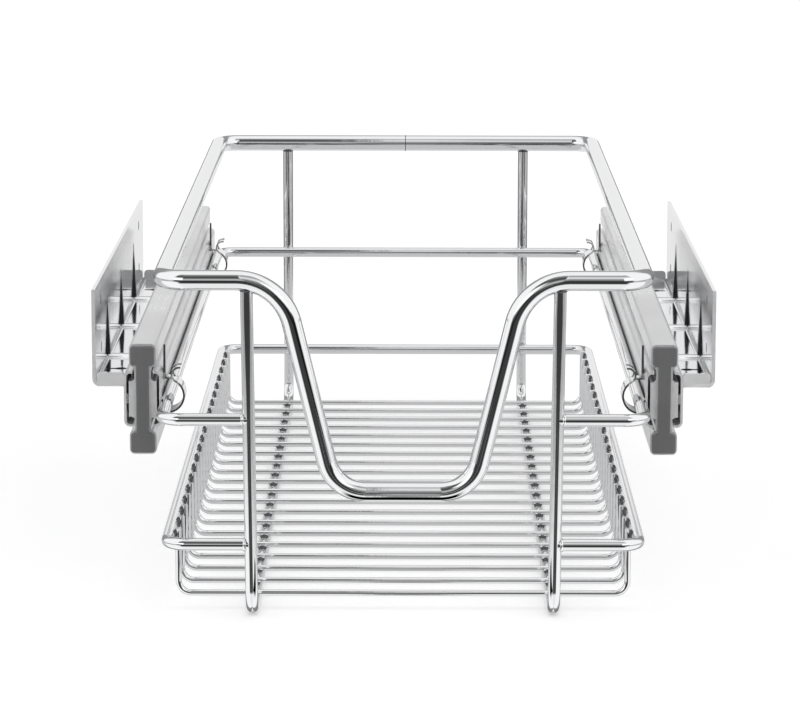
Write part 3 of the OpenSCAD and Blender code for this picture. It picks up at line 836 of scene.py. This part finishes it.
class BASKET_OT_cross_wires(bpy.types.Operator):
    """Bend the row of cross wires that make the basket's floor and low sides"""

    bl_idname = "basket.cross_wires"
    bl_label = "Cross wires"

    def execute(self, context):
        sizes, at = context.scene.basket_wire, wire_places()
        x, y = at["leg_x"], at["first"]
        path = [
            ((-x, y, at["leg_top"]), 0.0),
            ((-x, y, at["cross"]), sizes.leg_bend),
            ((x, y, at["cross"]), sizes.leg_bend),
            ((x, y, at["leg_top"]), 0.0),
        ]
        piece = bend_wire(
            "basket_wires_row", path, sizes.cross_wire, copies=len(cross_rows(at)),
            pitch=sizes.cross_pitch, fine=CROSS_FACETS,
        )
        stand_for(piece, "basket", "chrome_wire", "basket_wires")
        return {"FINISHED"}


class BASKET_OT_weld_beads(bpy.types.Operator):
    """Set the weld beads where wires cross or butt against each other"""

    bl_idname = "basket.weld_beads"
    bl_label = "Weld beads"

    def execute(self, context):
        sizes, at = context.scene.basket_wire, wire_places()
        thick, thin, fine = sizes.handle_wire / 2, sizes.frame_wire / 2, sizes.cross_wire / 2
        out, ring = thin + sizes.bead, thick + sizes.bead * BUTT_PROUD
        # The dull beads are partly painted shade: their near-black finish outlines the crossings
        # and joints.
        dull, bright = [((0.0, at["rear"], at["top"]), (thick * BUTT_WELD, ring, ring))], []

        def bead(half, shares):
            return [half * part for part in shares]

        for side in SIDES.values():
            x = side * at["cradle_x"]
            for y in cross_rows(at):
                dull.append(((x, y, at["cross"] - fine), bead(fine, CROSSING_BEAD)))
                dull.append(((side * (at["leg_x"] + fine), y, at["rim"]), bead(fine, RIM_BEAD)))
            for z in (at["middle"], at["rim"]):
                stub_x = upright_x(at, side, z) + side * thin
                bright.append(((stub_x, at["front"], z), (thin * FLAT_BEAD, out, out)))
                bright.append(((x, at["rear_bar"] + thin, z), bead(thin, REAR_BEAD)))
            low = at["top"] - thick * UNDER_TOP
            for top_x, y in ((upright_x(at, side, low), at["front"]), (x, at["rear"])):
                dull.append(((top_x, y, low), (out, out, thin * FLAT_BEAD)))
        for piece in (
            set_beads("weld_beads", dull, "dull_weld_steel_with_painted_shade", WELD_SEGMENTS, WELD_UNEVENNESS),
            set_beads("bright_welds", bright, "chrome_plated_wire", FINE_SEGMENTS),
        ):
            stand_for(piece, "basket", "chrome_wire")
        return {"FINISHED"}


# ---------------------------------------------------------------- slides, caps, brackets

# How far a point may be off and still count as part of the sheet or of a lip.
SHEET_SLACK, LIP_SLACK = 1.02, 0.1 * MM
# Which faces of a bracket were cut, and which keyhole walls and rib flanks take painted
# shade, by their place and by the way they face.
LIP_DEPTH, LIP_FACING, END_CLEAR = 3 * MM, 0.5, 5 * MM
UPRIGHT, KEYHOLE_REACH, FLANK_LOW, FLANK_HIGH = 0.05, 0.4, 0.35, 0.98


def corner_arc(cx, cy, radius, start, steps=6):
    """Points of a quarter circle, anticlockwise from the start angle."""
    turns = [math.radians(start + 90 * i / steps) for i in range(steps + 1)]
    return [(cx + radius * math.cos(turn), cy + radius * math.sin(turn)) for turn in turns]


def cap_outline(half_w, half_h, head, waist, radius):
    """Outline of an I-shaped cap about its middle, anticlockwise from its lower right corner."""
    inner = half_h - head
    right = corner_arc(half_w - radius, -half_h + radius, radius, 270)
    right += corner_arc(half_w - radius, -inner - radius, radius, 0)
    right += [(waist, -inner), (waist, inner)]
    right += corner_arc(half_w - radius, inner + radius, radius, 270)
    right += corner_arc(half_w - radius, half_h - radius, radius, 0)
    return right + [(-x, -z) for x, z in right]


class BASKET_OT_front_caps(bpy.types.Operator):
    """Mould the plastic caps in the front ends of the middle rails"""

    bl_idname = "basket.front_caps"
    bl_label = "Front caps"

    def execute(self, context):
        sizes = context.scene.basket_slide
        inset = sizes.cap_inset
        outline = cap_outline(
            (RAIL_HIGH.x - RAIL_LOW.x) / 2 - inset,
            (RAIL_HIGH.z - RAIL_LOW.z) / 2 - inset,
            sizes.head_height - 2 * inset,
            sizes.waist / 2 - inset,
            sizes.head_corner - inset,
        )
        middle_x, middle_z = (RAIL_LOW.x + RAIL_HIGH.x) / 2, (RAIL_LOW.z + RAIL_HIGH.z) / 2
        front, back = CAP_LOW.y, CAP_LOW.y + sizes.cap_face
        for word, side in SIDES.items():
            name = f"front_cap_{word}_moulding"
            form = bmesh.new()
            knots = [form.verts.new((side * middle_x + x, back, middle_z + z)) for x, z in outline]
            swept = bmesh.ops.extrude_face_region(form, geom=[form.faces.new(knots)])["geom"]
            fronts = [v for v in swept if isinstance(v, bmesh.types.BMVert)]
            bmesh.ops.translate(form, verts=fronts, vec=(0, -sizes.cap_face, 0))
            bmesh.ops.recalc_face_normals(form, faces=form.faces)
            rim = [e for e in form.edges if all(abs(v.co.y - front) < SAME_LEVEL for v in e.verts)]
            bmesh.ops.bevel(
                form, geom=rim, offset=sizes.cap_round, segments=3, profile=0.6, affect="EDGES"
            )
            for face in form.faces:
                face.smooth = True
            mesh = bpy.data.meshes.new(name)
            form.to_mesh(mesh)
            form.free()
            mesh.set_sharp_from_angle(angle=sizes.crease)
            mesh.materials.append(finish_named("moulded_cap_plastic"))
            piece = put_in_scene(name, mesh)
            stand_for(piece, "middle_" + word, "cap_plastic", "front_cap_" + word)
        return {"FINISHED"}


class BASKET_OT_rails(bpy.types.Operator):
    """Finish the rolled rails of both slides"""

    bl_idname = "basket.rails"
    bl_label = "Slide rails"

    def execute(self, context):
        for word in SIDES:
            for kind in ("drawer_rail_", "middle_rail_", "cabinet_rail_"):
                dress(kind + word, "zinc_plated_rail", "rail_steel")
        return {"FINISHED"}


class BASKET_OT_ball_cages(bpy.types.Operator):
    """Finish the ball cages and fill them with polished balls"""

    bl_idname = "basket.ball_cages"
    bl_label = "Ball cages and balls"

    def execute(self, context):
        sizes = context.scene.basket_slide
        half = sizes.ball / 2
        for word in SIDES:
            for place in ("inner_", "outer_"):
                dress(place + "cage_" + word, "cage_steel", "cage_steel")
                node = place + "balls_" + word
                low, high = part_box(node)
                rows = [
                    ((low.x + half, low.y + half + i * sizes.ball_pitch, z), (half, half, half))
                    for i in range(sizes.balls)
                    for z in (low.z + half, high.z - half)
                ]
                piece = set_beads(node + "_set", rows, "ball_steel", FINE_SEGMENTS)
                stand_for(piece, body_of_node(node), "ball_steel", node)
        return {"FINISHED"}


def finish_clips(word, sheet):
    """Chromes the saddle clips of one side and leaves their tongues bare."""
    face = MIDDLE_HIGH.x - sheet.clip
    for node in ("frame_clip_front_" + word, "frame_clip_rear_" + word):
        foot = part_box(node)[1].z - sheet.tongue
        refinish(
            dress(node, "chrome_plated_sheet", "chrome_sheet"), "spring_steel",
            lambda centre, _: abs(centre.x) > face and centre.z > foot,
        )


def finish_bracket(word, side, sheet):
    """Chromes a bracket, leans its end lips outwards, dulls those lips, and paints shade on the
    walls of its keyholes and the flanks of its ribs."""
    low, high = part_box("bracket_" + word)
    thickness, middle = sheet.thickness, 0.5 * (low.y + high.y)
    wall, web = (high.x if side > 0 else -low.x), high.z - sheet.wall_flange
    reach = wall - sheet.bracket_reach / 2

    def lean(place):
        end = low.y if place.y < middle else high.y
        above = place.z - web - thickness
        in_sheet = abs(place.y - end) < thickness * SHEET_SLACK
        in_lip = abs(side * place.x - reach) < sheet.lip / 2 + LIP_SLACK
        if above > 0 and in_sheet and in_lip:
            place.y += math.copysign(math.tan(sheet.lip_lean) * above, end - middle)

    def on_lip(centre, normal):
        from_end = min(centre.y - low.y, high.y - centre.y)
        return centre.z > web and abs(normal.y) > LIP_FACING and from_end < LIP_DEPTH

    def between_ends(centre):
        return low.y + END_CLEAR < centre.y < high.y - END_CLEAR

    def in_keyhole(centre, normal):
        in_web = abs(normal.z) < UPRIGHT and web < centre.z < web + thickness
        near = abs(side * centre.x - reach) < sheet.bracket_reach * KEYHOLE_REACH
        return in_web and near and between_ends(centre)

    def on_rib(centre, normal):
        flank = centre.z > web + thickness * 2 and FLANK_LOW < abs(normal.y) < FLANK_HIGH
        clear = side * centre.x < wall - thickness * SHEET_SLACK
        return flank and clear and between_ends(centre)

    node, crease = "bracket_" + word, web + thickness
    piece = dress(node, "chrome_plated_sheet", "chrome_sheet", lean, crease)
    refinish(piece, "cut_edge_steel", on_lip)
    # Painted shade: the keyhole walls and the rib flanks turn near-black.
    refinish(piece, "painted_shade_steel", in_keyhole)
    refinish(piece, "painted_shade_steel", on_rib)


class BASKET_OT_sheet_parts(bpy.types.Operator):
    """Finish the pressed brackets and the saddle clips in chrome"""

    bl_idname = "basket.sheet_parts"
    bl_label = "Brackets and clips"

    def execute(self, context):
        sheet = context.scene.basket_sheet
        for word, side in SIDES.items():
            finish_clips(word, sheet)
            finish_bracket(word, side, sheet)
        return {"FINISHED"}


class BASKET_OT_rivets(bpy.types.Operator):
    """Finish the rivets between the brackets and the cabinet rails"""

    bl_idname = "basket.rivets"
    bl_label = "Rivets"

    def execute(self, context):
        for word in SIDES:
            dress("bracket_rivets_" + word, "rivet_steel", "rivet_steel")
        return {"FINISHED"}


# ---------------------------------------------------------------- stage

FLOOR_HALF, FLOOR_BACK = 3, 6
NEAR_ZERO = 0.001

# Borders inside the room, as (from, to) pairs of a direction's height or turn.
RIGHT_SIDE, MIDDLE_BAND = (-0.001, 0.010), (0.015, 0.008)
WINDOW_SIDES, WINDOW_TOP = (-0.955, -0.985), (0.36, 0.26)
BOX_INNER, BOX_TOP, BOX_FOOT = (0.24, 0.32), (0.60, 0.50), (0.10, 0.16)
LOW_START, LOW_NARROWER = (-0.155, -0.205), 0.17
FRONT_SECTOR, REAR_SECTOR = (0.62, 0.76), (-0.50, -0.70)


def room_light(tree, look):
    """How bright the room is in each direction: white walls and ceiling, a dark opening in front
    that draws the dark lines in the chrome, and a dim rear with a window."""
    x, y, z = split_axes(tree, add_node(tree, "ShaderNodeTexCoord", {})["Generated"])
    squares = (sum_node(tree, "POWER", axis, 2.0) for axis in (x, y))
    flat = sum_node(tree, "SQRT", sum_node(tree, "ADD", *squares))
    flat = sum_node(tree, "MAXIMUM", flat, NEAR_ZERO)
    wide = sum_node(tree, "ABSOLUTE", x)
    ahead = sum_node(tree, "DIVIDE", times(tree, y, -1.0), flat)
    aside = sum_node(tree, "DIVIDE", wide, flat)
    # Each row holds (height, tone) marks; the height is the z of a direction of length 1.
    left = tones(
        tree, z, (-0.56, 0.95), (-0.50, 0.35), (-0.42, 0.03), (-0.30, 0.04), (-0.15, 0.05),
        (-0.11, 0.005), (-0.04, 0.02), (0.03, 0.08), (0.09, 0.26), (0.16, look.strip),
        (0.30, look.strip), (0.40, 0.26), (0.50, 0.10), (0.66, 0.07), (0.77, 0.12), (0.86, 0.24),
        (0.92, 0.36), (0.97, 1.0),
    )
    right = tones(
        tree, z, (-0.56, 0.95), (-0.48, 0.30), (-0.40, 0.03), (-0.30, 0.04), (-0.15, 0.05),
        (-0.11, 0.005), (-0.02, 0.01), (0.06, 0.05), (0.20, 0.20), (0.32, 0.26), (0.44, 0.36),
        (0.54, 0.75), (0.70, 0.85), (0.80, 0.50), (0.87, 0.36), (0.92, 0.42), (0.97, 1.0),
    )
    middle = tones(
        tree, z, (-0.72, 0.22), (-0.50, 0.30), (-0.30, 0.46), (-0.12, 0.40), (0.02, 0.20),
        (0.18, 0.22), (0.28, 0.28), (0.40, 0.50), (0.52, 0.75), (0.68, 0.90), (0.80, 0.70),
        (0.88, 0.52), (0.93, 0.60), (0.97, 1.0),
    )
    rear = tones(tree, z, (-0.10, 0.25), (0.20, 0.30), (0.66, 0.34), (0.84, 1.0))
    walls = tones(
        tree, z, (-0.235, look.walls), (-0.195, 0.45), (-0.14, 0.36), (-0.04, 0.40),
        (0.04, look.walls),
    )
    front = blend(tree, ramp_up(tree, x, *RIGHT_SIDE), left, right)
    front = blend(tree, ramp_up(tree, wide, *MIDDLE_BAND), front, middle)
    boxes = inside(tree, (aside, BOX_INNER), (z, BOX_TOP), (z, BOX_FOOT))
    front = sum_node(tree, "ADD", front, times(tree, boxes, look.boxes))
    rear = blend(tree, inside(tree, (ahead, WINDOW_SIDES), (z, WINDOW_TOP)), rear, look.back)
    low = times(tree, ramp_up(tree, z, *LOW_START), LOW_NARROWER)
    turn = sum_node(tree, "SUBTRACT", ahead, low)
    light = blend(tree, ramp_up(tree, turn, *FRONT_SECTOR), walls, front)
    return blend(tree, ramp_up(tree, ahead, *REAR_SECTOR), light, rear)


def light_room(scene):
    """Lights the scene by the room, and lets the camera see plain white."""
    world = bpy.data.worlds.new("Studio room")
    scene.world = world
    world.use_nodes = True
    tree = world.node_tree
    tree.nodes.clear()
    lit, seen = (
        add_node(tree, "ShaderNodeBackground", {"Color": WHITE, "Strength": strength})[0]
        for strength in (room_light(tree, scene.basket_stage), 1.0)
    )
    show(tree, tree.nodes.new("ShaderNodeOutputWorld"), lit, seen)


def aim_camera(scene):
    """Sets the camera at its place and turns it by yaw, pitch and roll."""
    look = scene.basket_stage
    yaw, pitch, roll = look.camera_yaw, look.camera_pitch, look.camera_roll
    right = Vector((math.cos(yaw), math.sin(yaw), 0.0))
    ahead = Vector((-math.sin(yaw), math.cos(yaw), 0.0))
    up = Vector((0.0, 0.0, math.cos(pitch))) + ahead * math.sin(pitch)
    back = Vector((0.0, 0.0, math.sin(pitch))) - ahead * math.cos(pitch)
    across = right * math.cos(roll) + up * math.sin(roll)
    above = up * math.cos(roll) - right * math.sin(roll)
    lens = bpy.data.cameras.new("Camera")
    lens.lens, lens.sensor_width, lens.sensor_fit = look.lens, 36.0, "HORIZONTAL"
    lens.clip_start, lens.clip_end = 0.05, 50.0
    turn = Matrix((across, above, back)).transposed().to_4x4()
    scene.camera = put_in_scene("Camera", lens)
    scene.camera.matrix_world = Matrix.Translation(Vector(look.camera_place)) @ turn


class BASKET_OT_stage(bpy.types.Operator):
    """Lay the white floor sheet, light the room and aim the camera"""

    bl_idname = "basket.stage"
    bl_label = "Stage"

    def execute(self, context):
        scene = context.scene
        look = scene.basket_stage
        front, back, ground = look.floor_front, FLOOR_BACK, CAD_BOX[0].z
        outline = (-1, front), (1, front), (1, back), (-1, back)
        mesh = bpy.data.meshes.new("floor_sheet")
        mesh.from_pydata([(x * FLOOR_HALF, y, ground) for x, y in outline], [], [(0, 1, 2, 3)])
        mesh.materials.append(floor_finish("white_floor_sheet", look.floor, look.floor_glow))
        put_in_scene("floor_sheet", mesh)
        light_room(scene)
        aim_camera(scene)
        scene.view_settings.view_transform = "Standard"
        return {"FINISHED"}


# ---------------------------------------------------------------- add-on


GROUPS = {
    "basket_wire": BASKET_PG_wire,
    "basket_slide": BASKET_PG_slide,
    "basket_sheet": BASKET_PG_sheet,
    "basket_finish": BASKET_PG_finish,
    "basket_stage": BASKET_PG_stage,
}
STEPS = (
    BASKET_OT_top_frame,
    BASKET_OT_open_frames,
    BASKET_OT_cradle_wires,
    BASKET_OT_cross_wires,
    BASKET_OT_weld_beads,
    BASKET_OT_rails,
    BASKET_OT_front_caps,
    BASKET_OT_ball_cages,
    BASKET_OT_sheet_parts,
    BASKET_OT_rivets,
    BASKET_OT_stage,
)


class BASKET_PT_panel(bpy.types.Panel):
    """Sizes, finishes and building steps of the basket"""

    bl_label = "Pull-out basket"
    bl_idname = "BASKET_PT_panel"
    bl_space_type = "VIEW_3D"
    bl_region_type = "UI"
    bl_category = "Basket"

    def draw(self, context):
        for name, group in GROUPS.items():
            box = self.layout.box()
            box.label(text=group.__doc__)
            for label in group.__annotations__:
                box.prop(getattr(context.scene, name), label)
        for step in STEPS:
            self.layout.operator(step.bl_idname)


CLASSES = (*GROUPS.values(), *STEPS, BASKET_PT_panel)


def register():
    for made in CLASSES:
        bpy.utils.register_class(made)
    for name, group in GROUPS.items():
        setattr(bpy.types.Scene, name, bpy.props.PointerProperty(type=group))


def unregister():
    for name in GROUPS:
        delattr(bpy.types.Scene, name)
    for made in reversed(CLASSES):
        bpy.utils.unregister_class(made)


def main():
    register()
    for step in STEPS:
        family, name = step.bl_idname.split(".")
        getattr(getattr(bpy.ops, family), name)()


if __name__ == "__main__":
    main()
